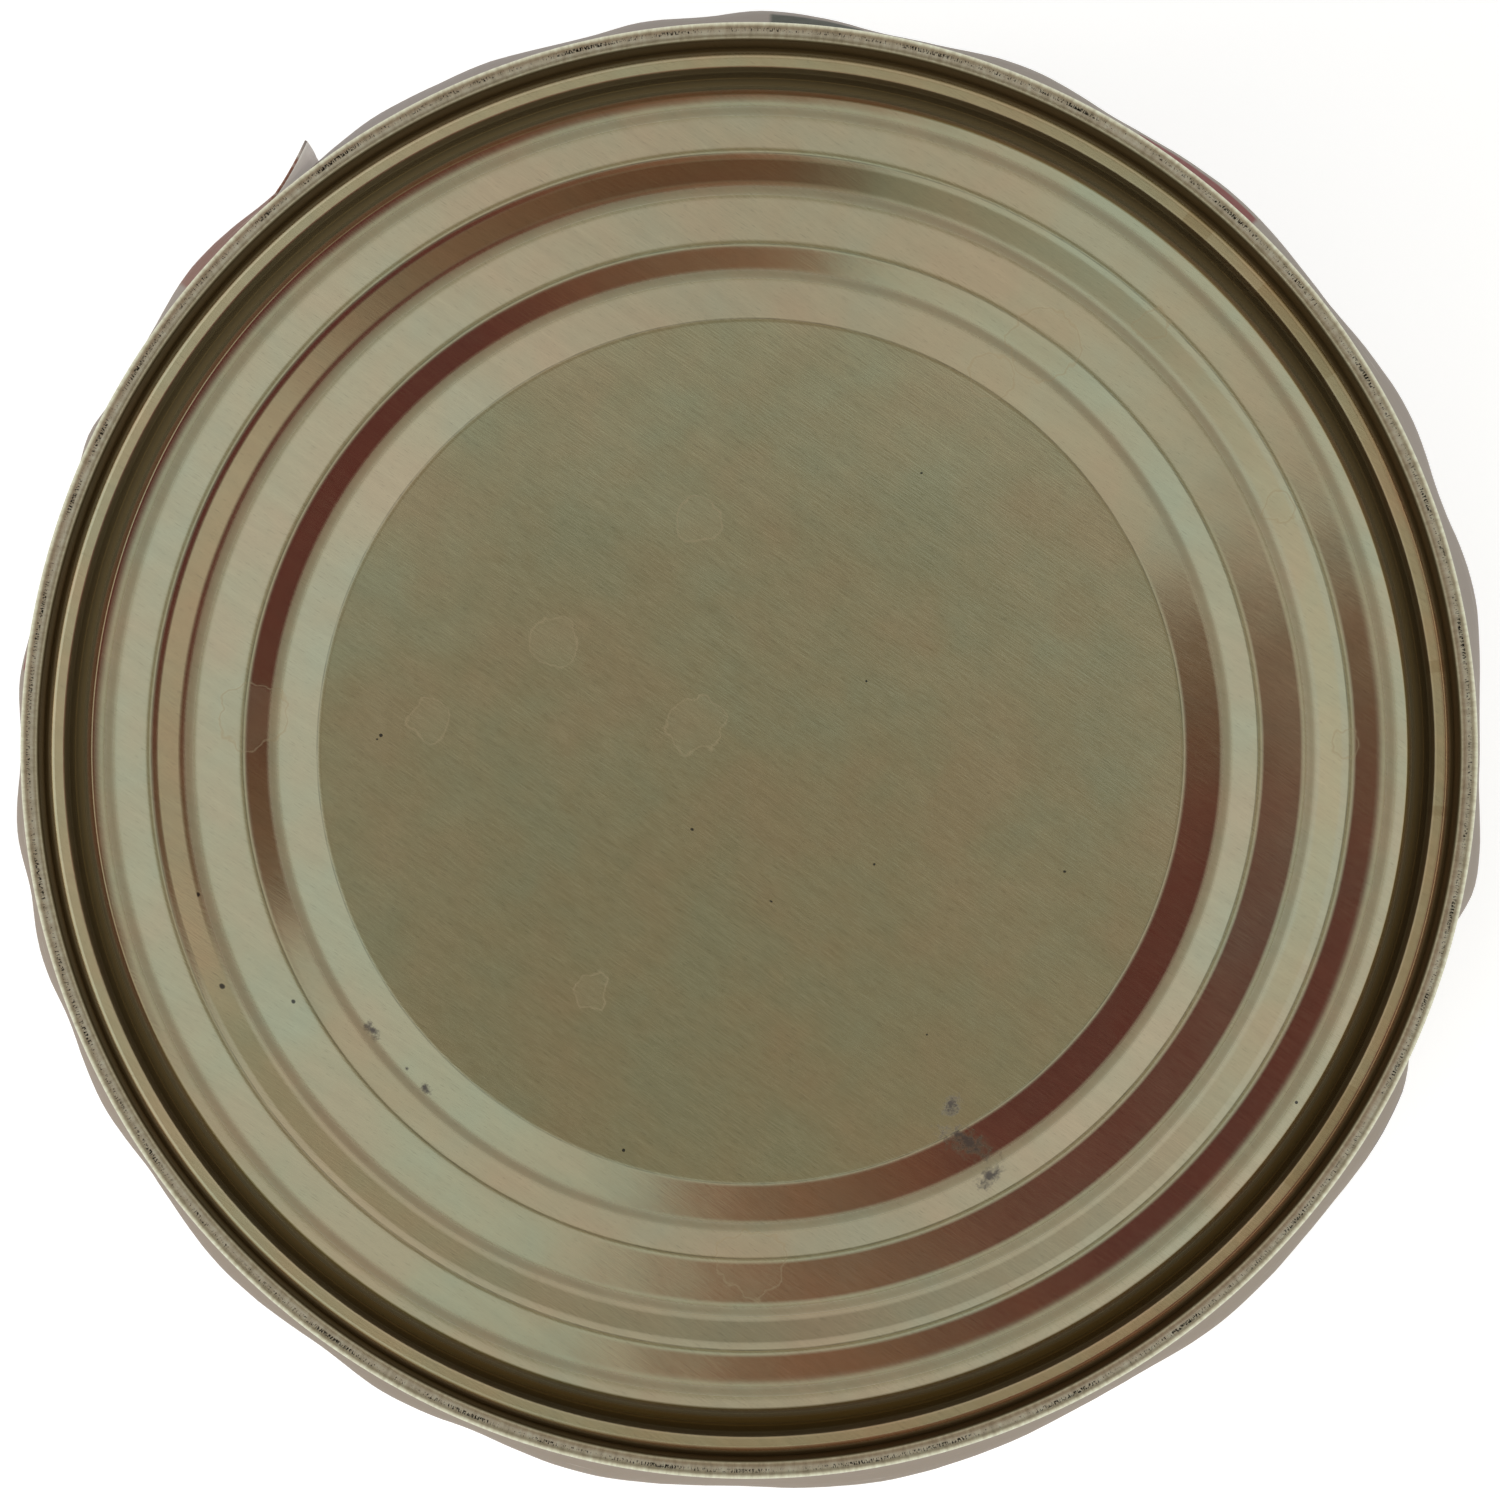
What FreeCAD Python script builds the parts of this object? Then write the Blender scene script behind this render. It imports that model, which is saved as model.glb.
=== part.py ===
"""Food can, 300 x 407 size: a tinplate can with double-seamed ends and a loose paper label.

The can stands on its bottom seam, centred on Z, with its origin at the middle of the base.
Millimetres throughout.
"""
import FreeCAD, Part
import math
import os

# ---- driving dimensions -------------------------------------------------------------------
CAN_HEIGHT = 112.7            # over both seams
SEAM_DIAMETER = 76.2          # over the double seam
SEAM_LENGTH = 3.0             # height of the rolled seam
SEAM_THICKNESS = 0.95         # from the outside of the seam to the chuck wall
SEAM_OVERHANG = 0.85          # how far the seam stands out from the can's wall
SEAM_CROWN_RADIUS = 0.45      # rounding either side of the level ring along its crown
SEAM_FOOT_RADIUS = 0.3        # rounding where the seam tucks under

COUNTERSINK_DEPTH = 3.3       # from the seam's crown to the bottom of the groove
COUNTERSINK_WIDTH = 1.15      # across the bottom of the groove
COUNTERSINK_RADIUS = 0.5      # rounding either side of it
CHUCK_WALL_TAPER = 0.2        # how far the chuck wall leans in on its way down
PANEL_WALL_RUN = 1.36         # width of the rise from the groove to the shoulder
SHOULDER_DEPTH = 1.92         # top of that rise, below the crown
SHOULDER_RADIUS = 0.5         # rounding there
LIP_RUN = 0.66                # width of the gentler slope just outside the shoulder
LIP_DROP = 0.21               # and its drop
LIP_RADIUS = 1.6              # rounding where the rise steepens below it

# Ring beads from the outside in: width of the outer side, depth of the crest, width of the
# inner side, depth of the crease at its foot and rounding along the crest
BEADS = (
    (0.85, 1.85, 2.18, 2.17, 6.4),
    (2.0, 1.75, 2.8, 2.11, 3.2),
    (1.6, 1.88, 2.3, 2.20, 3.2),
)
CREASE_RADIUS = 2.2           # rounding in a crease
END_SEAT = 0.3                # wall left below both groove and seam, where the end meets the body

LABEL_THICKNESS = 0.15        # paper
LABEL_SEAM_GAP = 0.85         # bare wall between a seam and the label's edge
LABEL_GAP_EDGE = 0.55         # how far the paper stands off the wall at its tucked-in edges
LABEL_GAP_NEAR_EDGE = 1.35    # just inside those edges, where it bellies out past the seam
LABEL_GAP_MIDDLE = 0.8        # and at mid height
LABEL_TUCK_HEIGHT = 5.0       # height over which an edge tucks in
LABEL_GLUE_GAP = 0.08         # glue under the pasted strip
LABEL_GLUE_ANGLE = 341.0      # where the paper is pasted to the wall, in degrees
LABEL_GLUE_WIDTH = 9.0        # half the width of that dip, in degrees
LABEL_FREE_EDGE = 126.0       # outer end of the wrap, in degrees
LABEL_OVERLAP = 12.0          # how far the wrap passes over its own start, in degrees
LABEL_LAP_GAP = 0.12          # air between the two layers of the overlap
LABEL_CURL = 1.2              # how far the free top corner curls out
LABEL_CURL_WIDTH = 10.0       # length of the curl round the can, in degrees
LABEL_CURL_HEIGHT = 26.0      # height over which the curl dies out
LABEL_WAVE_EDGE = 0.3         # share of each bulge that is left at a tucked edge
LABEL_WAVE_MIDDLE = 0.4       # and at mid height

# Bulges of the damp-swollen paper: place round the can and half width in degrees, height in mm
LABEL_BULGES = (
    (12.5, 10.0, 0.60), (25.0, 32.0, 0.28), (28.0, 11.0, 0.52), (49.0, 12.0, 0.38),
    (57.0, 32.0, 0.30), (68.0, 8.5, 0.44), (88.0, 9.5, 0.56), (92.0, 36.0, 0.36),
    (98.0, 6.0, 0.36), (114.0, 16.0, 0.55), (138.0, 9.0, 0.42), (154.0, 4.0, 0.32),
    (174.0, 5.0, 0.28), (186.0, 6.0, 0.44), (196.0, 7.0, 0.38), (208.0, 8.0, 0.36),
    (225.0, 11.0, 0.38), (241.0, 8.0, 0.34), (258.0, 12.0, 0.46), (282.0, 19.0, 0.50),
    (312.0, 14.0, 0.48), (328.0, 12.0, 0.46), (350.5, 8.0, 0.48),
)

STATION_STEP = 3.0            # degrees between sections' points round the label
LABEL_LEVELS = (0.0, 2.5, 5.0, 9.0, 18.0, 32.0)   # heights of its sections in from either edge

# ---- sizes that follow from them ----------------------------------------------------------
SEAM_R = SEAM_DIAMETER / 2.0
BODY_R = SEAM_R - SEAM_OVERHANG
CHUCK_R = SEAM_R - SEAM_THICKNESS
GROOVE_OUTER_R = CHUCK_R - CHUCK_WALL_TAPER
GROOVE_INNER_R = GROOVE_OUTER_R - COUNTERSINK_WIDTH
SEAT_DEPTH = max(COUNTERSINK_DEPTH, SEAM_LENGTH) + END_SEAT
LABEL_BOTTOM = SEAM_LENGTH + LABEL_SEAM_GAP
LABEL_HEIGHT = CAN_HEIGHT - 2.0 * LABEL_BOTTOM


def point(radius, depth):
    """Profile point at a radius, so far below the crown of the seam."""
    return FreeCAD.Vector(radius, 0.0, -depth)


def rounded_wire(corners):
    """Closed wire through (point, fillet radius) corners; a radius of 0 keeps the corner sharp."""
    count = len(corners)
    edges = []
    ends = []
    for index, (corner, radius) in enumerate(corners):
        to_last = (corners[index - 1][0] - corner).normalize()
        to_next = (corners[(index + 1) % count][0] - corner).normalize()
        if radius <= 0.0:
            ends.append((corner, corner, None))
            continue
        half = to_last.getAngle(to_next) / 2.0
        run = radius / math.tan(half)
        bisector = (to_last + to_next).normalize()
        middle = corner + bisector * (radius / math.sin(half) - radius)
        ends.append((corner + to_last * run, corner + to_next * run, middle))
    for index, (start, end, middle) in enumerate(ends):
        if middle is not None:
            edges.append(Part.Arc(start, middle, end).toShape())
        following = ends[(index + 1) % count][0]
        edges.append(Part.makeLine(end, following))
    return Part.Wire(edges)


def panel_corners():
    """Corners of the ribbed panel, from the shoulder's outer edge to the flat centre."""
    radius = GROOVE_INNER_R - PANEL_WALL_RUN
    corners = [(point(radius + LIP_RUN, SHOULDER_DEPTH + LIP_DROP), LIP_RADIUS)]
    corners.append((point(radius, SHOULDER_DEPTH), SHOULDER_RADIUS))
    for outer_side, crest_depth, inner_side, crease_depth, crest_radius in BEADS:
        radius -= outer_side
        corners.append((point(radius, crest_depth), crest_radius))
        radius -= inner_side
        corners.append((point(radius, crease_depth), CREASE_RADIUS))
    corners.append((point(0.0, BEADS[-1][3]), 0.0))
    return corners


def make_end():
    """A seamed can end with its crown at z = 0: double seam, countersink groove, ribbed panel."""
    corners = [
        (point(0.0, SEAT_DEPTH), 0.0),
        (point(BODY_R, SEAT_DEPTH), 0.0),
        (point(BODY_R, SEAM_LENGTH), 0.0),
        (point(SEAM_R, SEAM_LENGTH), SEAM_FOOT_RADIUS),
        (point(SEAM_R, 0.0), SEAM_CROWN_RADIUS),
        (point(CHUCK_R, 0.0), SEAM_CROWN_RADIUS),
        (point(GROOVE_OUTER_R, COUNTERSINK_DEPTH), COUNTERSINK_RADIUS),
        (point(GROOVE_INNER_R, COUNTERSINK_DEPTH), COUNTERSINK_RADIUS),
    ]
    corners += panel_corners()
    face = Part.Face(rounded_wire(corners))
    return face.revolve(FreeCAD.Vector(0, 0, 0), FreeCAD.Vector(0, 0, 1), 360)


def make_top_end():
    end = make_end()
    end.translate(FreeCAD.Vector(0, 0, CAN_HEIGHT))
    return end


def make_bottom_end():
    end = make_end()
    end.rotate(FreeCAD.Vector(0, 0, 0), FreeCAD.Vector(1, 0, 0), 180)
    return end


def make_can_body():
    """The can's wall and what it holds: a shut can is solid between its two ends."""
    height = CAN_HEIGHT - 2.0 * SEAT_DEPTH
    return Part.makeCylinder(BODY_R, height, FreeCAD.Vector(0, 0, SEAT_DEPTH))


def smooth_bump(distance, half_width):
    """1 at the middle, easing to 0 at half_width either side."""
    if abs(distance) >= half_width:
        return 0.0
    return 0.5 + 0.5 * math.cos(math.pi * distance / half_width)


def angle_from(angle, middle):
    """Signed degrees from middle to angle, between -180 and 180."""
    return (angle - middle + 180.0) % 360.0 - 180.0


def ease(share):
    """0 to 1 with level ends, for a share that may lie outside 0 to 1."""
    share = min(1.0, max(0.0, share))
    return share * share * (3.0 - 2.0 * share)


def label_gap(turn, height):
    """Gap between wall and paper, turn degrees past the free edge and so high up the label."""
    angle = LABEL_FREE_EDGE + turn
    from_edge = min(height, LABEL_HEIGHT - height)
    tuck = ease(from_edge / LABEL_TUCK_HEIGHT)
    calm = 1.0 - (1.0 - 2.0 * from_edge / LABEL_HEIGHT) ** 2
    belly = LABEL_GAP_NEAR_EDGE + (LABEL_GAP_MIDDLE - LABEL_GAP_NEAR_EDGE) * calm
    gap = LABEL_GAP_EDGE + (belly - LABEL_GAP_EDGE) * tuck
    wave = (1.0 + (LABEL_WAVE_MIDDLE - 1.0) * calm) * (LABEL_WAVE_EDGE + (1.0 - LABEL_WAVE_EDGE) * tuck)
    for place, half_width, bulge in LABEL_BULGES:
        gap += wave * bulge * smooth_bump(angle_from(angle, place), half_width)
    pasted = smooth_bump(angle_from(angle, LABEL_GLUE_ANGLE), LABEL_GLUE_WIDTH)
    gap += (LABEL_GLUE_GAP - gap) * pasted
    return gap


def label_radius(turn, height):
    """Inner radius of the paper; its first degrees of turn lie over the far end of the strip."""
    over = 1.0 if turn <= LABEL_OVERLAP else smooth_bump(turn - LABEL_OVERLAP, LABEL_OVERLAP)
    lap = over * (LABEL_THICKNESS + LABEL_LAP_GAP)
    curl_run = max(0.0, 1.0 - turn / LABEL_CURL_WIDTH)
    curl_rise = max(0.0, 1.0 - (LABEL_HEIGHT - height) / LABEL_CURL_HEIGHT)
    curl = LABEL_CURL * curl_run ** 2 * curl_rise ** 2
    return BODY_R + label_gap(turn, height) + lap + curl


def label_section(height):
    """Closed outline of the paper strip, so high up the label."""
    count = int(round((360.0 + LABEL_OVERLAP) / STATION_STEP))
    turns = [(360.0 + LABEL_OVERLAP) * index / count for index in range(count + 1)]
    z = LABEL_BOTTOM + height
    sides = []
    for offset in (0.0, LABEL_THICKNESS):
        side = []
        for turn in turns:
            radius = label_radius(turn, height) + offset
            angle = math.radians(LABEL_FREE_EDGE + turn)
            side.append(FreeCAD.Vector(radius * math.cos(angle), radius * math.sin(angle), z))
        sides.append(side)
    inner = Part.BSplineCurve()
    inner.interpolate(Points=sides[0], Parameters=turns)
    outer = Part.BSplineCurve()
    outer.interpolate(Points=sides[1], Parameters=turns)
    far_end = Part.makeLine(sides[0][-1], sides[1][-1])
    free_end = Part.makeLine(sides[1][0], sides[0][0])
    return Part.Wire([inner.toShape(), far_end, outer.toShape(), free_end])


def make_paper_label():
    """The printed strip, wrapped once round with a lap, loose and wavy."""
    heights = list(LABEL_LEVELS) + [LABEL_HEIGHT / 2.0]
    heights += [LABEL_HEIGHT - level for level in reversed(LABEL_LEVELS)]
    return Part.makeLoft([label_section(height) for height in heights], True, False)


NODES = {
    "can_body": make_can_body,
    "top_end": make_top_end,
    "bottom_end": make_bottom_end,
    "paper_label": make_paper_label,
}

os.makedirs("parts", exist_ok=True)
for name, make in NODES.items():
    shape = make()
    solid = shape.Solids[0]
    if solid.Volume < 0.0:
        solid.reverse()
    print(name, "solids", len(shape.Solids), "valid", solid.isValid(), "mm3", round(solid.Volume, 1))
    solid.exportStep("parts/" + name + ".step")
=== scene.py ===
"""Looks for a shut food can: two ribbed tinplate ends, the can's wall, and a loose paper label
that damp has swollen into waves. Blender works in metres; sizes here are in millimetres."""
import math

import bmesh
import bpy
from mathutils import Matrix, Vector, noise


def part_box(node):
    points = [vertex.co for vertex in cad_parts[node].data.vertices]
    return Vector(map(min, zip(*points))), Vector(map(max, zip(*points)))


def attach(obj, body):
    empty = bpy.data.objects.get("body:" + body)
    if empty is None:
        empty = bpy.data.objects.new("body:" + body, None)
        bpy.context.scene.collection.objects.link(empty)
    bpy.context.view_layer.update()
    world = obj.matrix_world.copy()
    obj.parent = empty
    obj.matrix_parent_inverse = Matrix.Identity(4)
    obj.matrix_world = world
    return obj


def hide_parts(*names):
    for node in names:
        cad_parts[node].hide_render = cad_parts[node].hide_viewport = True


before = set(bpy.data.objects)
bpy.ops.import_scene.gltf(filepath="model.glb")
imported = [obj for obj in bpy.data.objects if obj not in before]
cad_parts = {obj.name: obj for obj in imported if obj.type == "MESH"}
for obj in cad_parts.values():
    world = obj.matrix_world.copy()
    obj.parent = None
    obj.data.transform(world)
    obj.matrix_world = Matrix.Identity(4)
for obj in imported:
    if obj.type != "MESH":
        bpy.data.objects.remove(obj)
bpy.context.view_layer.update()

MM = 0.001
TO_MM = (1.0 / MM, 1.0 / MM, 1.0 / MM)

# ---- sizes read from the frame ------------------------------------------------------------
top_low, top_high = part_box("top_end")
wall_low, wall_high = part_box("can_body")
label_low, label_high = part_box("paper_label")
SEAM_R = top_high.x / MM
CAN_HEIGHT = top_high.z / MM
BODY_R = wall_high.x / MM
SEAT_DEPTH = (top_high.z - top_low.z) / MM
LABEL_BOTTOM = label_low.z / MM
LABEL_HEIGHT = (label_high.z - label_low.z) / MM

# ---- the seamed end, as depths below the seam's crown -------------------------------------
SEAM_LENGTH = 3.0
SEAM_THICKNESS = 0.95
SEAM_CROWN_RADIUS = 0.45
SEAM_FOOT_RADIUS = 0.3
COUNTERSINK_DEPTH = 3.3
COUNTERSINK_WIDTH = 1.15
COUNTERSINK_RADIUS = 0.5
CHUCK_WALL_TAPER = 0.2
PANEL_WALL_RUN = 1.36
SHOULDER_DEPTH = 1.92
SHOULDER_RADIUS = 0.5
LIP_RUN = 0.66
LIP_DROP = 0.21
LIP_RADIUS = 1.6
# Ring beads from the outside in: width of the outer side, depth of the crest, width of the
# inner side, depth of the crease at its foot and rounding along the crest
BEADS = (
    (0.85, 1.85, 2.18, 2.17, 6.4),
    (2.0, 1.75, 2.8, 2.11, 3.2),
    (1.6, 1.88, 2.3, 2.20, 3.2),
)
CREASE_RADIUS = 2.2
CHUCK_R = SEAM_R - SEAM_THICKNESS
GROOVE_OUTER_R = CHUCK_R - CHUCK_WALL_TAPER
GROOVE_INNER_R = GROOVE_OUTER_R - COUNTERSINK_WIDTH
SHOULDER_R = GROOVE_INNER_R - PANEL_WALL_RUN
END_SEGMENTS = 400            # round the can
ARC_STEP = math.radians(6.0)  # turn between points on a rounding
ARC_RUN = 0.15                # and the run between them on a wide one
STRAIGHT_STEP = 0.6           # longest straight run between points
STRAIGHT_END = 0.04           # a short run at each end keeps a straight's shading straight
PANEL_SHIFT = Vector((0.1, -0.05))    # the press set the panel's middle slightly off centre
PANEL_SHIFT_RADII = (23.0, 33.0)      # full within the first, gone beyond the second

# ---- the paper label ----------------------------------------------------------------------
LABEL_THICKNESS = 0.15
LABEL_GAP_EDGE = 0.55         # how far the paper stands off the wall at its tucked-in edges
LABEL_GAP_NEAR_EDGE = 1.35    # just inside those edges, where it bellies out past the seam
LABEL_GAP_MIDDLE = 0.8        # and at mid height
LABEL_TUCK_HEIGHT = 5.0       # height over which an edge tucks in
LABEL_GLUE_GAP = 0.08
LABEL_GLUE_ANGLE = 341.0      # degrees round the can
LABEL_GLUE_WIDTH = 9.0
LABEL_FREE_EDGE = 126.0
LABEL_OVERLAP = 12.0
LABEL_LAP_GAP = 0.12
LABEL_CURL = 1.5
LABEL_CURL_WIDTH = 8.5
LABEL_CURL_HEIGHT = 6.0
LABEL_WAVE_EDGE = 0.3         # share of each bulge that is left at a tucked edge
LABEL_WAVE_MIDDLE = 0.4       # and at mid height
# Bulges: place round the can and half width in degrees, height in mm
LABEL_BULGES = (
    (12.5, 10.0, 0.60), (25.0, 32.0, 0.28), (28.0, 11.0, 0.52), (49.0, 12.0, 0.38),
    (57.0, 32.0, 0.30), (68.0, 8.5, 0.44), (88.0, 9.5, 0.56), (92.0, 36.0, 0.36),
    (98.0, 6.0, 0.36), (114.0, 16.0, 0.55), (122.5, 9.0, 0.34), (138.0, 9.0, 0.42),
    (154.0, 4.0, 0.32), (174.0, 5.0, 0.28), (186.0, 6.0, 0.44), (196.0, 7.0, 0.38), (208.0, 8.0, 0.36),
    (225.0, 11.0, 0.38), (241.0, 8.0, 0.34), (258.0, 12.0, 0.46), (282.0, 19.0, 0.50),
    (312.0, 14.0, 0.48), (328.0, 12.0, 0.46), (350.5, 8.0, 0.48),
)
LABEL_COLUMNS = 434
LABEL_ROWS = 70
LABEL_EDGE_ROWS = 0.75        # 0 spaces the rows evenly, 1 packs them all to the edges
COCKLE = 0.05                 # height of the small wrinkles between the waves
PRINT_R = 38.0                # radius at which a degree round the can is measured on the print

# ---- camera and stage ---------------------------------------------------------------------
VIEW_DISTANCE = 600.0         # from the seam's crown
VIEW_WIDTH = 78.36            # what the frame takes in at the crown
VIEW_TILT = 1.9               # degrees off the can's axis
VIEW_SIDE = -80.0             # towards this side of the can
VIEW_AIM = Vector((0.06, -0.07))
SENSOR_WIDTH = 36.0
TENT_RADIUS = 20000.0         # far off, so that every part of the can mirrors the same sky
FLOOR_SIZE = 1200.0
HANGING_SIDE = math.radians(139.0)    # where the tent's red-brown hanging has its middle


def linear(hex_colour):
    """sRGB hex to the linear values that Blender's sockets hold."""
    channels = [int(hex_colour[i:i + 2], 16) / 255.0 for i in (1, 3, 5)]
    return tuple(c / 12.92 if c <= 0.04045 else ((c + 0.055) / 1.055) ** 2.4 for c in channels) + (1.0,)


def add(tree, kind, *inputs, out=0, named=None, **settings):
    """Adds a node with its settings, feeds its inputs from sockets or values, returns an output."""
    node = tree.nodes.new("ShaderNode" + kind)
    for key, value in settings.items():
        setattr(node, key, value)
    fed = list(enumerate(inputs)) + list((named or {}).items())
    for key, value in fed:
        if value is None:
            continue
        if isinstance(value, bpy.types.NodeSocket):
            tree.links.new(value, node.inputs[key])
        else:
            node.inputs[key].default_value = value
    return node.outputs[out] if len(node.outputs) else None


def ramp(tree, factor, stops):
    """Colour or grey picked along a factor; stops are (place, hex colour)."""
    socket = add(tree, "ValToRGB", factor)
    band = socket.node.color_ramp
    while len(band.elements) < len(stops):
        band.elements.new(0.5)
    for element, (place, colour) in zip(band.elements, stops):
        element.position = place
        element.color = linear(colour)
    return socket


def window(tree, value, low, high, soft):
    """1 where value lies between low and high, easing to 0 over soft either side."""
    rise = add(tree, "MapRange", value, low - soft, low + soft, 0.0, 1.0, interpolation_type="SMOOTHSTEP")
    fall = add(tree, "MapRange", value, high - soft, high + soft, 1.0, 0.0, interpolation_type="SMOOTHSTEP")
    return add(tree, "Math", rise, fall, operation="MULTIPLY")


def strongest(tree, masks):
    """The highest of several masks at each place."""
    most = masks[0]
    for mask in masks[1:]:
        most = add(tree, "Math", most, mask, operation="MAXIMUM")
    return most


def mix(tree, factor, below, above, blend_type="MIX"):
    """Colour above laid over colour below."""
    named = {"Factor": factor, 6: below, 7: above}
    return add(tree, "Mix", out=2, named=named, data_type="RGBA", blend_type=blend_type)


def new_material(name):
    """An empty node material and its tree."""
    material = bpy.data.materials.new(name)
    material.use_nodes = True
    material.node_tree.nodes.clear()
    return material, material.node_tree


# ---- meshes -------------------------------------------------------------------------------
def rounded(corners):
    """Points along a profile of (radius, depth, rounding) corners, arcs and long runs divided."""
    points = []
    last = len(corners) - 1
    for index, (radius, depth, rounding) in enumerate(corners):
        corner = Vector((radius, depth))
        if rounding <= 0.0 or index in (0, last):
            points.append(corner)
            continue
        to_last = (Vector(corners[index - 1][:2]) - corner).normalized()
        to_next = (Vector(corners[index + 1][:2]) - corner).normalized()
        half = to_last.angle(to_next) / 2.0
        run = rounding / math.tan(half)
        centre = corner + (to_last + to_next).normalized() * (rounding / math.sin(half))
        start = corner + to_last * run - centre
        turn = start.angle_signed(corner + to_next * run - centre)
        steps = max(3, round(abs(turn) / ARC_STEP), round(abs(turn) * rounding / ARC_RUN))
        for step in range(steps + 1):
            arm = start.copy()
            arm.rotate(Matrix.Rotation(-turn * step / steps, 2))
            points.append(centre + arm)
    divided = [points[0]]
    for point in points[1:]:
        start = divided[-1]
        length = (point - start).length
        if length < 5.0 * STRAIGHT_END:
            divided.append(point)
            continue
        steps = max(1, math.ceil(length / STRAIGHT_STEP))
        inset = STRAIGHT_END / length
        shares = [inset] + [step / steps for step in range(1, steps)] + [1.0 - inset, 1.0]
        divided += [start.lerp(point, share) for share in shares]
    return divided


def end_corners():
    """Profile of a can end from the middle of its seat, over the seam, to the middle of its panel."""
    corners = [
        (0.0, SEAT_DEPTH, 0.0),
        (BODY_R, SEAT_DEPTH, 0.0),
        (BODY_R, SEAM_LENGTH, 0.0),
        (SEAM_R, SEAM_LENGTH, SEAM_FOOT_RADIUS),
        (SEAM_R, 0.0, SEAM_CROWN_RADIUS),
        (CHUCK_R, 0.0, SEAM_CROWN_RADIUS),
        (GROOVE_OUTER_R, COUNTERSINK_DEPTH, COUNTERSINK_RADIUS),
        (GROOVE_INNER_R, COUNTERSINK_DEPTH, COUNTERSINK_RADIUS),
        (SHOULDER_R + LIP_RUN, SHOULDER_DEPTH + LIP_DROP, LIP_RADIUS),
        (SHOULDER_R, SHOULDER_DEPTH, SHOULDER_RADIUS),
    ]
    radius = SHOULDER_R
    for outer_side, crest_depth, inner_side, crease_depth, crest_radius in BEADS:
        radius -= outer_side
        corners.append((radius, crest_depth, crest_radius))
        radius -= inner_side
        corners.append((radius, crease_depth, CREASE_RADIUS))
    corners.append((0.0, BEADS[-1][3], 0.0))
    return corners


def spin_profile(profile, segments):
    """A closed turned form from (radius, height) points in millimetres that start and end on the axis."""
    bm = bmesh.new()
    verts = [bm.verts.new((point.x * MM, 0.0, point.y * MM)) for point in profile]
    edges = [bm.edges.new(pair) for pair in zip(verts, verts[1:])]
    bmesh.ops.spin(bm, geom=verts + edges, cent=(0, 0, 0), axis=(0, 0, 1), dvec=(0, 0, 0),
                   angle=2.0 * math.pi, steps=segments, use_merge=True, use_duplicate=False)
    bmesh.ops.remove_doubles(bm, verts=bm.verts, dist=1e-7)
    bmesh.ops.recalc_face_normals(bm, faces=bm.faces)
    return bm


def finish_piece(bm, name, node_name, materials):
    """Turns a bmesh into a smooth-shaded piece that stands for a CAD node."""
    for face in bm.faces:
        face.smooth = True
    mesh = bpy.data.meshes.new(name)
    bm.to_mesh(mesh)
    bm.free()
    for material in materials:
        mesh.materials.append(material)
    piece = bpy.data.objects.new(name, mesh)
    bpy.context.scene.collection.objects.link(piece)
    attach(piece, "root")
    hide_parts(node_name)
    return piece


def ease(share):
    """0 to 1 with level ends, for a share that may lie outside 0 to 1."""
    share = min(1.0, max(0.0, share))
    return share * share * (3.0 - 2.0 * share)


def can_end_mesh(seed):
    """The seamed end with its crown at z = 0, its panel a little off centre and not quite flat."""
    bm = spin_profile([Vector((p.x, -p.y)) for p in rounded(end_corners())], END_SEGMENTS)
    for vert in bm.verts:
        radius = vert.co.xy.length / MM
        on_panel = 1.0 - ease((radius - SHOULDER_R) / PANEL_WALL_RUN)
        shifted = 1.0 - ease((radius - PANEL_SHIFT_RADII[0]) / (PANEL_SHIFT_RADII[1] - PANEL_SHIFT_RADII[0]))
        on_top = 1.0 if vert.co.z > -SEAM_LENGTH * MM or radius < GROOVE_OUTER_R else 0.0
        if vert.co.z < -(SEAT_DEPTH - 0.01) * MM:
            on_panel = 0.0
            on_top = 0.0
            shifted = 0.0
        place = Vector((vert.co.x / MM, vert.co.y / MM, seed))
        vert.co.xy += PANEL_SHIFT * shifted * MM
        vert.co.z += 0.012 * noise.noise(place / 9.0) * on_panel * MM
        vert.co.z += 0.004 * noise.noise(place / 2.5) * on_panel * on_top * MM
    return bm


def make_top_end(material):
    """The end with its crown at the can's full height."""
    bm = can_end_mesh(11.0)
    bmesh.ops.translate(bm, verts=bm.verts, vec=(0, 0, CAN_HEIGHT * MM))
    return finish_piece(bm, "tinplate_top_end", "top_end", [material])


def make_bottom_end(material):
    """The same end turned over, with waviness of its own."""
    bm = can_end_mesh(47.0)
    bmesh.ops.rotate(bm, verts=bm.verts, cent=(0, 0, 0), matrix=Matrix.Rotation(math.pi, 3, "X"))
    return finish_piece(bm, "tinplate_bottom_end", "bottom_end", [material])


def make_can_wall(material):
    """The wall with its contents, one closed turned form."""
    low = wall_low.z / MM
    high = wall_high.z / MM
    corners = [(0.0, low, 0.0), (BODY_R, low, 0.0), (BODY_R, high, 0.0), (0.0, high, 0.0)]
    bm = spin_profile([Vector(corner[:2]) for corner in corners], END_SEGMENTS // 2)
    return finish_piece(bm, "tinplate_wall", "can_body", [material])


def smooth_bump(distance, half_width):
    """1 at the middle, easing to 0 at half_width either side."""
    if abs(distance) >= half_width:
        return 0.0
    return 0.5 + 0.5 * math.cos(math.pi * distance / half_width)


def angle_from(angle, middle):
    """Signed degrees from middle to angle, between -180 and 180."""
    return (angle - middle + 180.0) % 360.0 - 180.0


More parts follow.
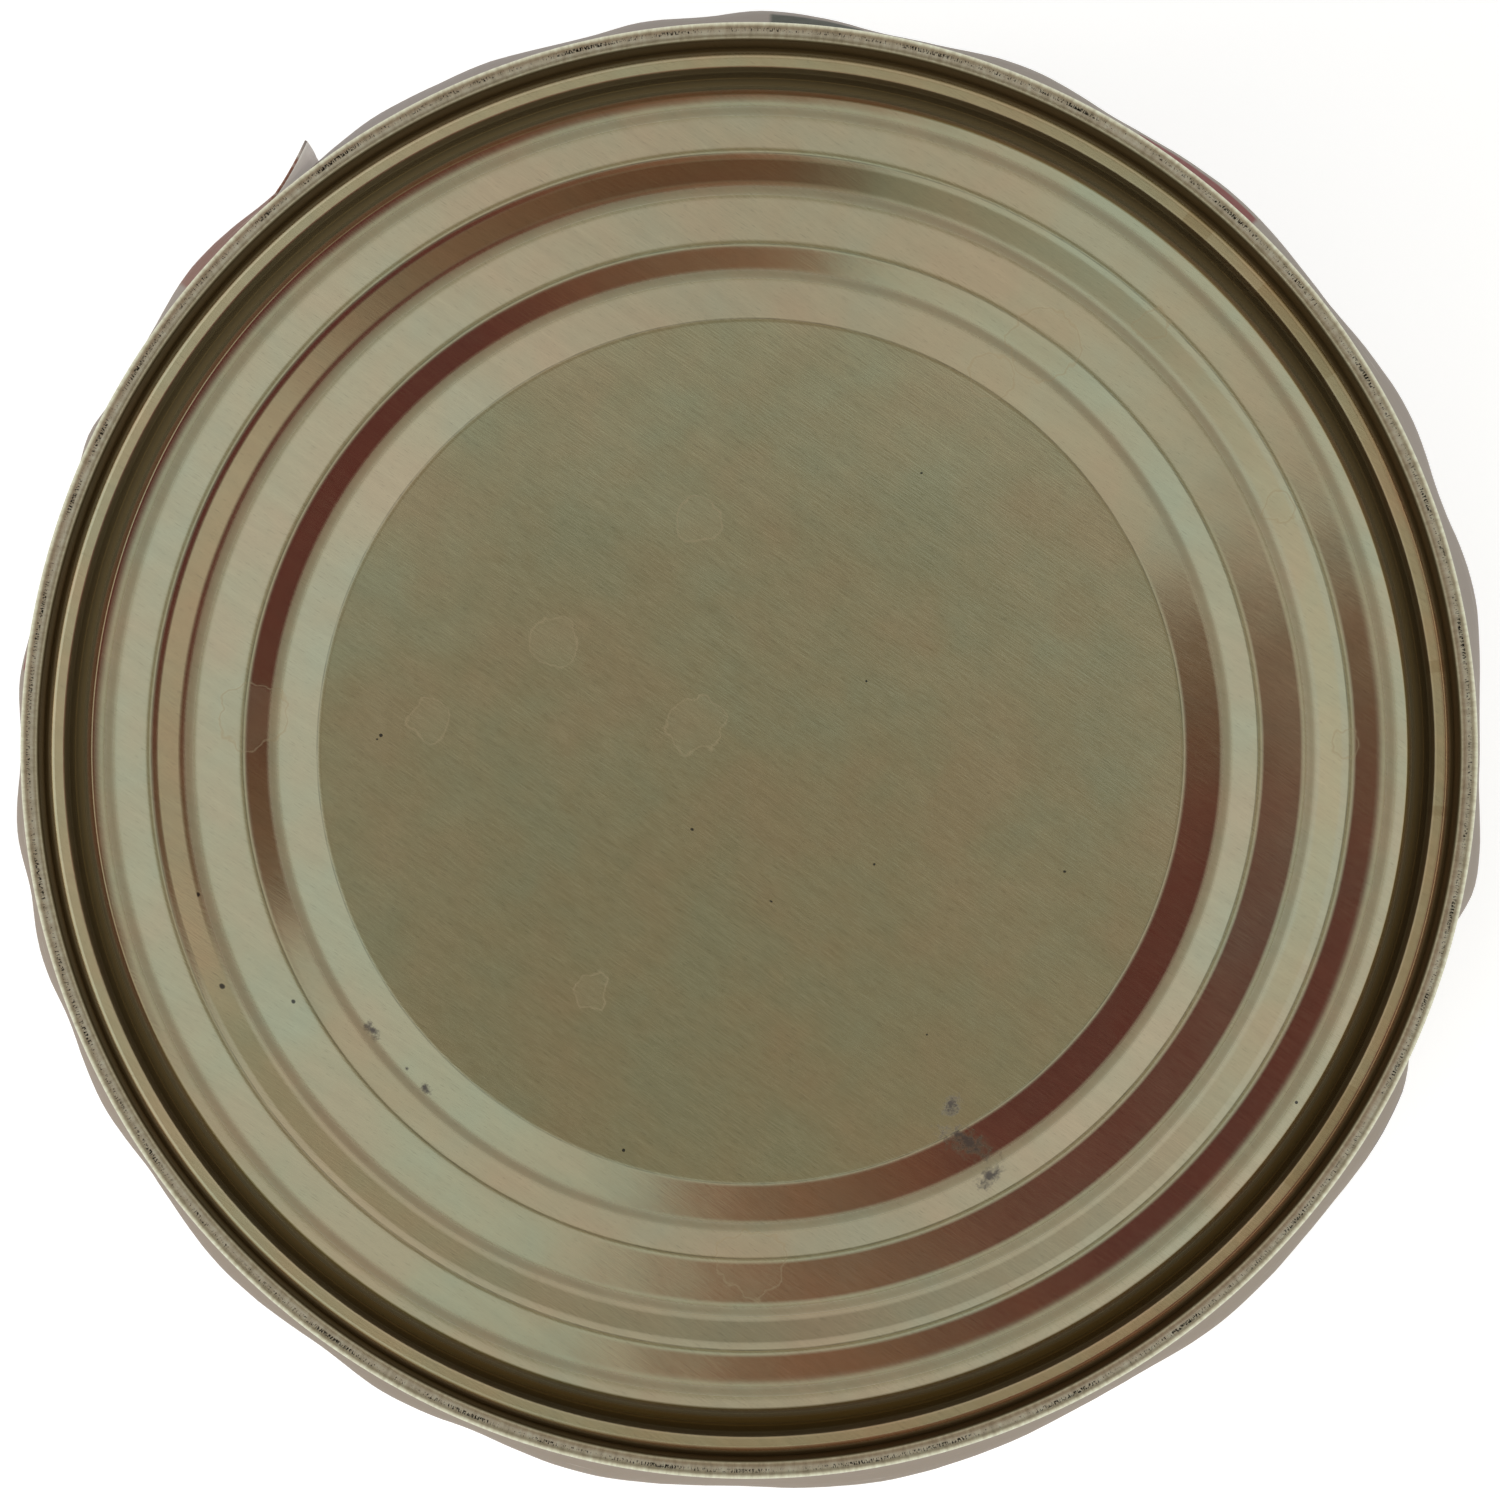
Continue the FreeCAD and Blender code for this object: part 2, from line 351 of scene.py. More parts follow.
def label_gap(turn, height):
    """Gap between wall and paper, turn degrees past the free edge and so high up the label."""
    angle = LABEL_FREE_EDGE + turn
    from_edge = min(height, LABEL_HEIGHT - height)
    tuck = ease(from_edge / LABEL_TUCK_HEIGHT)
    calm = 1.0 - (1.0 - 2.0 * from_edge / LABEL_HEIGHT) ** 2
    belly = LABEL_GAP_NEAR_EDGE + (LABEL_GAP_MIDDLE - LABEL_GAP_NEAR_EDGE) * calm
    gap = LABEL_GAP_EDGE + (belly - LABEL_GAP_EDGE) * tuck
    wave = (1.0 + (LABEL_WAVE_MIDDLE - 1.0) * calm) * (LABEL_WAVE_EDGE + (1.0 - LABEL_WAVE_EDGE) * tuck)
    for place, half_width, bulge in LABEL_BULGES:
        gap += wave * bulge * smooth_bump(angle_from(angle, place), half_width)
    place = Vector((math.cos(math.radians(angle)) * 6.0, math.sin(math.radians(angle)) * 6.0, height / 26.0))
    gap += COCKLE * tuck * noise.fractal(place * 1.6, 0.8, 2.0, 3)
    pasted = smooth_bump(angle_from(angle, LABEL_GLUE_ANGLE), LABEL_GLUE_WIDTH)
    gap += (LABEL_GLUE_GAP - gap) * pasted
    return gap


def label_radius(turn, height):
    """Inner radius of the paper; its first degrees of turn lie over the far end of the strip."""
    over = 1.0 if turn <= LABEL_OVERLAP else smooth_bump(turn - LABEL_OVERLAP, LABEL_OVERLAP)
    lap = over * (LABEL_THICKNESS + LABEL_LAP_GAP)
    curl_run = max(0.0, 1.0 - turn / LABEL_CURL_WIDTH)
    curl_rise = max(0.0, 1.0 - (LABEL_HEIGHT - height) / LABEL_CURL_HEIGHT)
    curl = LABEL_CURL * curl_run ** 2 * curl_rise ** 2
    return BODY_R + label_gap(turn, height) + lap + curl


def make_label(print_material, back_material):
    """A flat grid wrapped round the can with a lap, then given the paper's thickness."""
    bm = bmesh.new()
    uv_layer = bm.loops.layers.uv.new("print_mm")
    bmesh.ops.create_grid(bm, x_segments=LABEL_COLUMNS, y_segments=LABEL_ROWS, size=0.5)
    flat = {}
    for vert in bm.verts:
        share = vert.co.y + 0.5
        share -= LABEL_EDGE_ROWS * math.sin(2.0 * math.pi * share) / (2.0 * math.pi)
        turn = (vert.co.x + 0.5) * (360.0 + LABEL_OVERLAP)
        height = share * LABEL_HEIGHT
        flat[vert] = (math.radians(turn) * PRINT_R, height)
        radius = label_radius(turn, height) + LABEL_THICKNESS
        angle = math.radians(LABEL_FREE_EDGE + turn)
        z = LABEL_BOTTOM + height
        vert.co = Vector((radius * math.cos(angle), radius * math.sin(angle), z)) * MM
    for face in bm.faces:
        for loop in face.loops:
            loop[uv_layer].uv = flat[loop.vert]
    bm.normal_update()
    outward = sum(face.normal.xy.dot(face.calc_center_median().xy) for face in bm.faces)
    if outward < 0.0:
        bmesh.ops.reverse_faces(bm, faces=bm.faces)
    bmesh.ops.solidify(bm, geom=bm.faces, thickness=LABEL_THICKNESS * MM)
    bm.normal_update()
    for face in bm.faces:
        centre = face.calc_center_median()
        outward = face.normal.xy.dot(centre.xy.normalized())
        printed = outward > 0.3 or abs(face.normal.z) > 0.6
        face.material_index = 0 if printed else 1
    return finish_piece(bm, "paper_wrap", "paper_label", [print_material, back_material])


# ---- tinplate -----------------------------------------------------------------------------
# Dried drops: place on the end and size, in millimetres
DROP_MARKS = (
    (-2.6, 12.0, 1.3), (-10.4, 5.7, 1.3), (-16.7, 1.5, 1.1), (-2.8, 1.4, 1.5), (15.5, 21.3, 1.9),
    (21.2, 22.4, 1.0), (27.8, 12.6, 0.8), (31.2, 0.3, 0.8), (0.1, -26.8, 1.8), (-26.0, 1.8, 1.8),
    (12.8, 19.6, 1.2), (-8.5, -12.6, 1.0),
)
# Smudges of dark ink from packing: place, length, width in millimetres and lie in degrees
INK_SMUDGES = (
    (11.4, -20.6, 3.0, 1.3, -20.0), (12.6, -22.4, 1.5, 0.8, 40.0), (10.6, -18.6, 1.2, 0.8, 60.0),
    (-19.8, -14.7, 1.3, 0.55, -53.0), (-16.9, -17.8, 0.7, 0.5, -45.0), (-17.9, -16.8, 0.25, 0.2, 0.0),
)
# Specks burnt into the tin: place and size in millimetres
SPECKS = (
    (-2.9, -4.2, 0.11), (1.1, -8.0, 0.08), (6.6, -6.0, 0.09), (16.5, -6.4, 0.1), (-23.9, -13.2, 0.13),
    (-27.6, -12.4, 0.2), (-19.5, 0.6, 0.07), (9.0, 14.6, 0.07), (-28.9, -7.6, 0.14),
)
GRAIN_LIE = math.radians(-35.0)       # the way the plate ran through the rolls
SCRATCH_LIE = math.radians(-33.0)     # wiping scratches run almost along the grain
PANEL_REACH = 36.0                    # from the middle to where a drift over the end is full
# Marks where the seaming chuck pressed: degrees round the can and half width
CHUCK_MARKS = ((37.5, 4.7), (7.0, 0.5), (326.0, 4.9), (355.0, 0.4), (49.5, 1.3))


def tinplate(name):
    """Electrolytic tinplate: bright tin on rolled steel. It mirrors softly, with a fine straight
    grain from the rolls, dulls where drops have dried, and is rubbed bare along the seam."""
    material, tree = new_material(name)
    place = add(tree, "TexCoord", out=3)
    place = add(tree, "VectorMath", place, TO_MM, operation="MULTIPLY")
    x = add(tree, "SeparateXYZ", place, out=0)
    y = add(tree, "SeparateXYZ", place, out=1)
    flat = add(tree, "CombineXYZ", x, y, 0.0)
    radius = add(tree, "VectorMath", flat, out=1, operation="LENGTH")
    around = add(tree, "Math", add(tree, "Math", y, x, operation="ARCTAN2"), operation="DEGREES")

    # Rolling grain: short fine streaks
    turned = add(tree, "Mapping", flat, None, (0.0, 0.0, GRAIN_LIE), (1.3, 0.075, 1.0),
                 vector_type="TEXTURE")
    grain = add(tree, "TexNoise", turned, None, 1.0, 3.0, 0.65)
    broad = add(tree, "Mapping", flat, None, (0.0, 0.0, GRAIN_LIE), (9.0, 0.6, 1.0),
                vector_type="TEXTURE")
    streak = add(tree, "TexNoise", broad, None, 1.0, 2.0, 0.5)
    cloud = add(tree, "TexNoise", flat, None, 1 / 8.0, 3.0, 0.6)
    mottle = add(tree, "TexNoise", flat, None, 1 / 1.6, 3.0, 0.6)

    # Thin and thick tin: the plate's tone drifts between olive and grey
    colour = ramp(tree, cloud, [(0.36, "#AFB194"), (0.5, "#B3AF90"), (0.64, "#B7AD8E")])
    scratched = add(tree, "Mapping", flat, None, (0.0, 0.0, SCRATCH_LIE), (0.6, 0.045, 1.0),
                    vector_type="TEXTURE")
    scratch = add(tree, "TexNoise", scratched, None, 1.0, 1.0, 0.5)
    tone = add(tree, "MapRange", scratch, 0.26, 0.36, 0.8, 1.0)
    patterns = ((grain, 0.25, 0.75, 0.95, 1.05), (streak, 0.3, 0.7, 0.97, 1.03),
                (mottle, 0.3, 0.7, 0.985, 1.015))
    for pattern, low, high, least, most in patterns:
        varied = add(tree, "MapRange", pattern, low, high, least, most)
        tone = add(tree, "Math", tone, varied, operation="MULTIPLY")
    colour = mix(tree, 1.0, colour, add(tree, "CombineXYZ", tone, tone, tone), "MULTIPLY")

    # Dried drops: a thin chalky rim round a fainter film
    wobble = add(tree, "TexNoise", flat, None, 0.8, 2.0, 0.5, out=1)
    wobble = add(tree, "VectorMath", wobble, (0.5, 0.5, 0.5), operation="SUBTRACT")
    wobbled = add(tree, "VectorMath", wobble, (1.6, 1.6, 0.0), flat, operation="MULTIPLY_ADD")
    dried = []
    for mark_x, mark_y, size in DROP_MARKS:
        from_mark = add(tree, "VectorMath", wobbled, (mark_x, mark_y, 0.0), out=1, operation="DISTANCE")
        inside = add(tree, "MapRange", from_mark, size - 0.3, size, 0.25, 0.0)
        rim = window(tree, from_mark, size - 0.1, size, 0.06)
        dried += [rim, inside]
    patch = strongest(tree, dried)
    colour = mix(tree, add(tree, "Math", patch, 0.4, operation="MULTIPLY"), colour, linear("#A08C66"))

    # Painted shade on the groove's two walls: dark brown, less metallic, and darker towards one side
    chuck_wall = window(tree, radius, GROOVE_OUTER_R - 0.2, CHUCK_R + 0.1, 0.13)
    panel_wall = window(tree, radius, SHOULDER_R + 0.3, GROOVE_INNER_R + 0.06, 0.3)
    wall_shade_side = add(tree, "VectorMath", flat, (-0.17, 0.985, 0.0), out=1, operation="DOT_PRODUCT")
    wall_shade_side = add(tree, "MapRange", wall_shade_side, -PANEL_REACH, PANEL_REACH, 0.0, 1.0)
    wall_shade_colour = ramp(tree, wall_shade_side, [(0.0, "#745C30"), (0.5, "#8E7C54"), (1.0, "#A4936A")])
    colour = mix(tree, panel_wall, colour, wall_shade_colour)
    colour = mix(tree, chuck_wall, colour, linear("#54462C"))
    # Less metallic where the walls carry painted shade, and where drops have dried
    shade_and_drop_dulling = add(tree, "Math", panel_wall, 0.3, operation="MULTIPLY")
    shade_and_drop_dulling = add(tree, "Math", chuck_wall, 0.35, shade_and_drop_dulling, operation="MULTIPLY_ADD")
    shade_and_drop_dulling = add(tree, "Math", patch, 0.2, shade_and_drop_dulling, operation="MULTIPLY_ADD")
    metallic = add(tree, "Math", 1.0, shade_and_drop_dulling, operation="SUBTRACT")

    # A fine dark line of painted shade at the foot of each bead, deeper in places
    # The beads lie where the panel's shift dies out, so their lines are centred on half of it
    bead_middle = (PANEL_SHIFT.x / 2, PANEL_SHIFT.y / 2, 0.0)
    from_middle = add(tree, "VectorMath", flat, bead_middle, operation="SUBTRACT")
    from_middle = add(tree, "VectorMath", from_middle, out=1, operation="LENGTH")
    radius_at = SHOULDER_R
    lines = []
    crests = []
    for outer_side, _, inner_side, _, _ in BEADS:
        crest_at = radius_at - outer_side
        crests.append(window(tree, from_middle, crest_at - 0.22, crest_at + 0.22, 0.2))
        radius_at -= outer_side + inner_side
        lines.append(window(tree, from_middle, radius_at - 0.03, radius_at + 0.03, 0.03))
    handled = strongest(tree, crests)
    depth = add(tree, "MapRange", mottle, 0.35, 0.65, 0.15, 0.45)
    crease_shade = add(tree, "Math", strongest(tree, lines), depth, operation="MULTIPLY")
    colour = mix(tree, crease_shade, colour, linear("#3A3524"))

    # Painted light brightens the groove's floor, most towards one side; the other side gets a warmer painted
    # shade
    groove = window(tree, radius, GROOVE_INNER_R, GROOVE_OUTER_R - 0.1, 0.05)
    groove_light_side = add(tree, "VectorMath", flat, (-0.985, 0.174, 0.0), out=1, operation="DOT_PRODUCT")
    groove_light_side = add(tree, "MapRange", groove_light_side, -PANEL_REACH, PANEL_REACH, 0.0, 1.0)
    groove_light_tint = ramp(tree, groove_light_side, [(0.0, "#DFD0C2"), (0.5, "#E6DFD6"), (1.0, "#FFFBF8")])
    groove_painted_light = mix(tree, 1.0, colour, groove_light_tint, "MULTIPLY")
    groove_painted_light = add(tree, "VectorMath", groove_painted_light, (1.3, 1.3, 1.3), operation="MULTIPLY")
    colour = mix(tree, groove, colour, groove_painted_light)

    # Where the seaming chuck pressed, the groove is burnished in short sectors
    sectors = []
    for middle, half_width in CHUCK_MARKS:
        aside = add(tree, "Math", around, middle if middle < 180.0 else middle - 360.0, operation="SUBTRACT")
        aside = add(tree, "Math", aside, operation="ABSOLUTE")
        sectors.append(add(tree, "MapRange", aside, half_width - 0.05, half_width + 0.05, 1.0, 0.0))
    pressed = add(tree, "Math", strongest(tree, sectors), groove, operation="MULTIPLY")
    colour = mix(tree, add(tree, "Math", pressed, 0.6, operation="MULTIPLY"), colour,
                 add(tree, "VectorMath", colour, (0.8, 0.74, 0.66), operation="MULTIPLY"))

    # The seam's crown is rubbed dull, with scraped black flecks along its very top
    z = add(tree, "SeparateXYZ", place, out=2)
    below = add(tree, "Math", z, add(tree, "Math", CAN_HEIGHT, z, operation="SUBTRACT"), operation="MINIMUM")
    on_crown = add(tree, "MapRange", below, 0.5, 0.9, 1.0, 0.0)
    crown = window(tree, radius, CHUCK_R + 0.1, SEAM_R + 1.0, 0.06)
    crown = add(tree, "Math", crown, on_crown, operation="MULTIPLY")
    along = add(tree, "Math", around, 6.0, operation="MULTIPLY")
    crown_flat = add(tree, "CombineXYZ", along, add(tree, "Math", radius, 3.0, operation="MULTIPLY"), 0.0)
    rubbed = add(tree, "TexNoise", crown_flat, None, 0.35, 3.0, 0.6)
    crown_colour = ramp(tree, rubbed, [(0.3, "#BCBAA2"), (0.5, "#D0CFB8"), (0.7, "#DBDFCA")])
    colour = mix(tree, crown, colour, crown_colour)
    fleck = add(tree, "TexNoise", crown_flat, None, 1.3, 3.0, 0.7)
    crowded = add(tree, "TexNoise", add(tree, "CombineXYZ", along, 0.0, 0.0), None, 0.03, 2.0, 0.5)
    needed = add(tree, "MapRange", crowded, 0.38, 0.62, 0.61, 0.47)
    over = add(tree, "Math", fleck, needed, operation="SUBTRACT")
    top_line = window(tree, radius, SEAM_R - 0.52, SEAM_R - 0.33, 0.04)
    flecks = add(tree, "MapRange", over, 0.0, 0.05, 0.0, 1.0)
    flecks = add(tree, "Math", flecks, top_line, operation="MULTIPLY")
    colour = mix(tree, flecks, colour, linear("#120E0A"))

    # Ink smudges, broken up by the grain, and stray specks
    jittered = add(tree, "VectorMath", wobble, (0.5, 0.5, 0.0), flat, operation="MULTIPLY_ADD")
    smudges = []
    for mark_x, mark_y, length, width, lie in INK_SMUDGES:
        laid = add(tree, "Mapping", jittered, (mark_x, mark_y, 0.0), (0.0, 0.0, math.radians(lie)),
                   (length, width, 1.0), vector_type="TEXTURE")
        far = add(tree, "VectorMath", laid, out=1, operation="LENGTH")
        smudges.append(add(tree, "MapRange", far, 0.0, 1.0, 0.6, 0.0))
    broken = add(tree, "TexNoise", flat, None, 2.6, 4.0, 0.75)
    smudged = add(tree, "Math", strongest(tree, smudges), broken, operation="ADD")
    ink = add(tree, "MapRange", smudged, 0.76, 1.04, 0.0, 0.75)
    colour = mix(tree, ink, colour, linear("#45454F"))
    specks = []
    for mark_x, mark_y, size in SPECKS:
        speck = add(tree, "VectorMath", jittered, (mark_x, mark_y, 0.0), out=1, operation="DISTANCE")
        specks.append(add(tree, "MapRange", speck, size * 0.6, size, 1.0, 0.0))
    cells = add(tree, "TexVoronoi", flat, None, 1 / 3.2, named={"Randomness": 1.0})
    chosen = add(tree, "SeparateXYZ", cells.node.outputs["Color"], out=0)
    chosen = add(tree, "MapRange", chosen, 0.72, 1.0, 0.004, 0.034)
    dust = add(tree, "Math", cells, chosen, operation="LESS_THAN")
    panel = add(tree, "Math", radius, SHOULDER_R, operation="LESS_THAN")
    dust = add(tree, "Math", dust, panel, operation="MULTIPLY")
    specked = add(tree, "Math", strongest(tree, specks + [dust]), 0.85, operation="MULTIPLY")
    colour = mix(tree, specked, colour, linear("#23242C"))

    polished = add(tree, "MapRange", grain, 0.25, 0.75, 0.1, 0.15)
    polished = add(tree, "Math", patch, 0.03, polished, operation="MULTIPLY_ADD")
    polished = add(tree, "Math", handled, 0.3, polished, operation="MULTIPLY_ADD")
    polished = add(tree, "Math", groove, 0.06, polished, operation="MULTIPLY_ADD")
    polished = add(tree, "Math", chuck_wall, 0.3, polished, operation="MULTIPLY_ADD")
    roughness = add(tree, "Mix", named={"Factor": crown, 2: polished, 3: 0.5}, data_type="FLOAT")
    roughness = add(tree, "Math", add(tree, "Math", flecks, ink, operation="MAXIMUM"), 0.3, roughness,
                    operation="MULTIPLY_ADD")
    # The walls' painted shade also dims and warms their reflection at a glancing angle, where clean tin
    # flares up
    walls = add(tree, "Math", panel_wall, chuck_wall, operation="MAXIMUM")
    edge = mix(tree, walls, (1.0, 1.0, 1.0, 1.0), (0.6, 0.5, 0.4, 1.0))
    height = add(tree, "Math", grain, flecks, operation="SUBTRACT")
    bump = add(tree, "Bump", named={"Strength": 0.1, "Distance": 0.00002, "Height": height})
    shader = add(tree, "BsdfPrincipled", colour, metallic, roughness,
                 named={"Normal": bump, "Specular Tint": edge})
    add(tree, "OutputMaterial", shader)
    return material


# ---- paper --------------------------------------------------------------------------------
# The label's print, in millimetres along it from the free edge and in from its cut edges:
# a full-height edge band, and small blocks of ink along the top and the bottom
EDGE_BAND = (0.9, 9.6, "#82594A")
PRINT_BLOCKS = (
    (186.0, 193.5, -1.0, 3.3, "#7C3A34"), (209.0, 213.8, -1.0, 3.3, "#3F4234"),
    (133.6, 137.2, 4.2, 7.0, "#3C3A40"), (82.0, 88.0, 4.6, 8.0, "#5E4234"),
    (105.0, 113.0, 5.0, 7.4, "#6C4C3C"), (24.0, 31.5, -1.0, 3.3, "#7C3A34"),
)
# Cream panels with a plain motif each: left, right, then bone or paw
PRINT_PANELS = ((18.0, 74.0, "bone"), (96.0, 126.0, "paw"), (146.0, 178.0, "paw"))
PANEL_LOW = 20.0
PANEL_HIGH = 86.0
PANEL_LINE = (1.6, 2.1)       # a panel's line lies between these, in from its edge
BORDER_LINE = 12.0            # the thin lines round the can, in from the cut edges
PRINT_LENGTH = 246.0          # about the strip's length, as the print measures it
PRINT_SOFT = 0.12             # an ink's edge bleeds this far into the paper


def box_of(tree, across, left, right, upward, low, high):
    """1 within an upright rectangle on the print."""
    return add(tree, "Math", window(tree, across, left, right, PRINT_SOFT),
               window(tree, upward, low, high, PRINT_SOFT), operation="MULTIPLY")


def spot(tree, place, x, y, size):
    """1 within a round spot on the print."""
    distance = add(tree, "VectorMath", place, (x, y, 0.0), out=1, operation="DISTANCE")
    return add(tree, "MapRange", distance, size - PRINT_SOFT, size + PRINT_SOFT, 1.0, 0.0)


def motif(tree, flat, along, up, kind, x, y):
    """A plain bone or paw centred at x, y on the print."""
    if kind == "bone":
        spots = [(-14.0, 4.2, 5.2), (-14.0, -4.2, 5.2), (14.0, 4.2, 5.2), (14.0, -4.2, 5.2)]
        shape = box_of(tree, along, x - 14.0, x + 14.0, up, y - 4.0, y + 4.0)
    else:
        spots = [(-6.6, 3.4, 2.5), (-2.4, 7.0, 2.7), (2.4, 7.0, 2.7), (6.6, 3.4, 2.5), (0.0, -2.6, 4.6)]
        shape = spot(tree, flat, x - 2.2, y - 4.0, 3.6)
        shape = add(tree, "Math", shape, spot(tree, flat, x + 2.2, y - 4.0, 3.6), operation="MAXIMUM")
    return strongest(tree, [shape] + [spot(tree, flat, x + aside, y + above, size)
                                      for aside, above, size in spots])


def printed_paper():
    """Coated label stock, gravure printed: flat inks under a dulled sheen, scuffed to the pale paper in
    streaks round the can and along the cut edges."""
    material, tree = new_material("label_print")
    flat = add(tree, "UVMap", uv_map="print_mm")
    along = add(tree, "SeparateXYZ", flat, out=0)
    up = add(tree, "SeparateXYZ", flat, out=1)
    fibre = add(tree, "TexNoise", flat, None, 2.2, 4.0, 0.6)
    faded = add(tree, "TexNoise", flat, None, 0.06, 2.0, 0.5)

    # Ground ink: greyer on one half of the can, browner on the other
    half = add(tree, "MapRange", along, 0.0, PRINT_LENGTH, 0.0, 1.0)
    colour = ramp(tree, half, [
        (0.0, "#998D84"), (0.1, "#928476"), (0.3, "#8C7E6E"), (0.55, "#908475"),
        (0.66, "#978D82"), (0.85, "#978D82"), (1.0, "#9A8F89"),
    ])
    left, right, ink = EDGE_BAND
    colour = mix(tree, window(tree, along, left, right, 0.15), colour, linear(ink))
    from_top = add(tree, "Math", LABEL_HEIGHT, up, operation="SUBTRACT")
    from_edge = add(tree, "Math", up, from_top, operation="MINIMUM")
    for left, right, outer, inner, ink in PRINT_BLOCKS:
        block = add(tree, "Math", window(tree, along, left, right, 0.15),
                    window(tree, from_edge, outer, inner, 0.25), operation="MULTIPLY")
        colour = mix(tree, block, colour, linear(ink))
    for left, right, kind in PRINT_PANELS:
        panel = box_of(tree, along, left, right, up, PANEL_LOW, PANEL_HIGH)
        colour = mix(tree, panel, colour, linear("#D6CCB4"))
        outer, inner = [box_of(tree, along, left + inset, right - inset,
                               up, PANEL_LOW + inset, PANEL_HIGH - inset) for inset in PANEL_LINE]
        line = add(tree, "Math", outer, inner, operation="SUBTRACT")
        colour = mix(tree, line, colour, linear("#7C3A34"))
        shape = motif(tree, flat, along, up, kind, (left + right) / 2.0, (PANEL_LOW + PANEL_HIGH) / 2.0)
        colour = mix(tree, shape, colour, linear("#6B5142"))
    for height in (BORDER_LINE, LABEL_HEIGHT - BORDER_LINE):
        line = window(tree, up, height - 0.5, height + 0.5, PRINT_SOFT)
        colour = mix(tree, line, colour, linear("#D6CCB4"))

    # Ink is thinner here and there, and speckled by the fibres
    tone = add(tree, "MapRange", fibre, 0.3, 0.7, 0.95, 1.05)
    tone = add(tree, "Math", tone, add(tree, "MapRange", faded, 0.3, 0.7, 0.94, 1.06), operation="MULTIPLY")
    colour = mix(tree, 1.0, colour, add(tree, "CombineXYZ", tone, tone, tone), "MULTIPLY")

    # Scuffs run round the can; cut edges are worn to the paper
    rubbed = add(tree, "Mapping", flat, None, None, (7.0, 0.5, 1.0), vector_type="TEXTURE")
    rubbed = add(tree, "TexNoise", rubbed, None, 1.0, 5.0, 0.7)
    scuff = add(tree, "MapRange", rubbed, 0.62, 0.7, 0.0, 0.5)
    middle = window(tree, up, 1.0, LABEL_HEIGHT - 1.0, 0.5)
    edge = add(tree, "Math", 1.0, middle, operation="SUBTRACT")
    worn = add(tree, "Math", edge, add(tree, "MapRange", fibre, 0.5, 0.62, 0.0, 0.6), operation="MULTIPLY")
    bare = add(tree, "Math", scuff, worn, operation="MAXIMUM")
    colour = mix(tree, bare, colour, linear("#C9C1B6"))
    sheen = add(tree, "MapRange", fibre, 0.3, 0.7, 0.5, 0.6)
    sheen = add(tree, "Math", bare, 0.2, sheen, operation="MULTIPLY_ADD")
    bump = add(tree, "Bump", named={"Strength": 0.25, "Distance": 0.00003, "Height": fibre})
    shader = add(tree, "BsdfPrincipled", colour, 0.0, sheen,
                 named={"Normal": bump, "Specular IOR Level": 0.15})
    add(tree, "OutputMaterial", shader)
    return material


def paper_back():
    """Uncoated back of the label stock: matt and fibrous, with a faint glow of painted light in place of
    daylight through the thin sheet.
    """
    material, tree = new_material("label_back")
    place = add(tree, "TexCoord", out=3)
    fibre = add(tree, "TexNoise", place, None, 1 / 0.0012, 4.0, 0.6)
    colour = ramp(tree, fibre, [(0.3, "#D6D0CB"), (0.7, "#E6E2DE")])
    # The emission is painted light: a glow that stands in for daylight through the paper
    shader = add(tree, "BsdfPrincipled", colour, 0.0, 0.8,
                 named={"Emission Color": linear("#D8D2CC"), "Emission Strength": 0.3})
    add(tree, "OutputMaterial", shader)
    return material


# ---- stage --------------------------------------------------------------------------------
def seen_by(obj, camera=False, diffuse=False, glossy=False, shadow=False):
    """Which rays meet a stage object or a lamp."""
    obj.visible_camera = camera
    obj.visible_diffuse = diffuse
    obj.visible_glossy = glossy
    obj.visible_transmission = glossy
    obj.visible_volume_scatter = False
    obj.visible_shadow = shadow


def stage_mesh(bm, name, material):
    """Turns a bmesh into a stage object, which the export leaves out."""
    mesh = bpy.data.meshes.new(name)
    bm.to_mesh(mesh)
    bm.free()
    mesh.materials.append(material)
    obj = bpy.data.objects.new(name, mesh)
    bpy.context.scene.collection.objects.link(obj)
    return obj


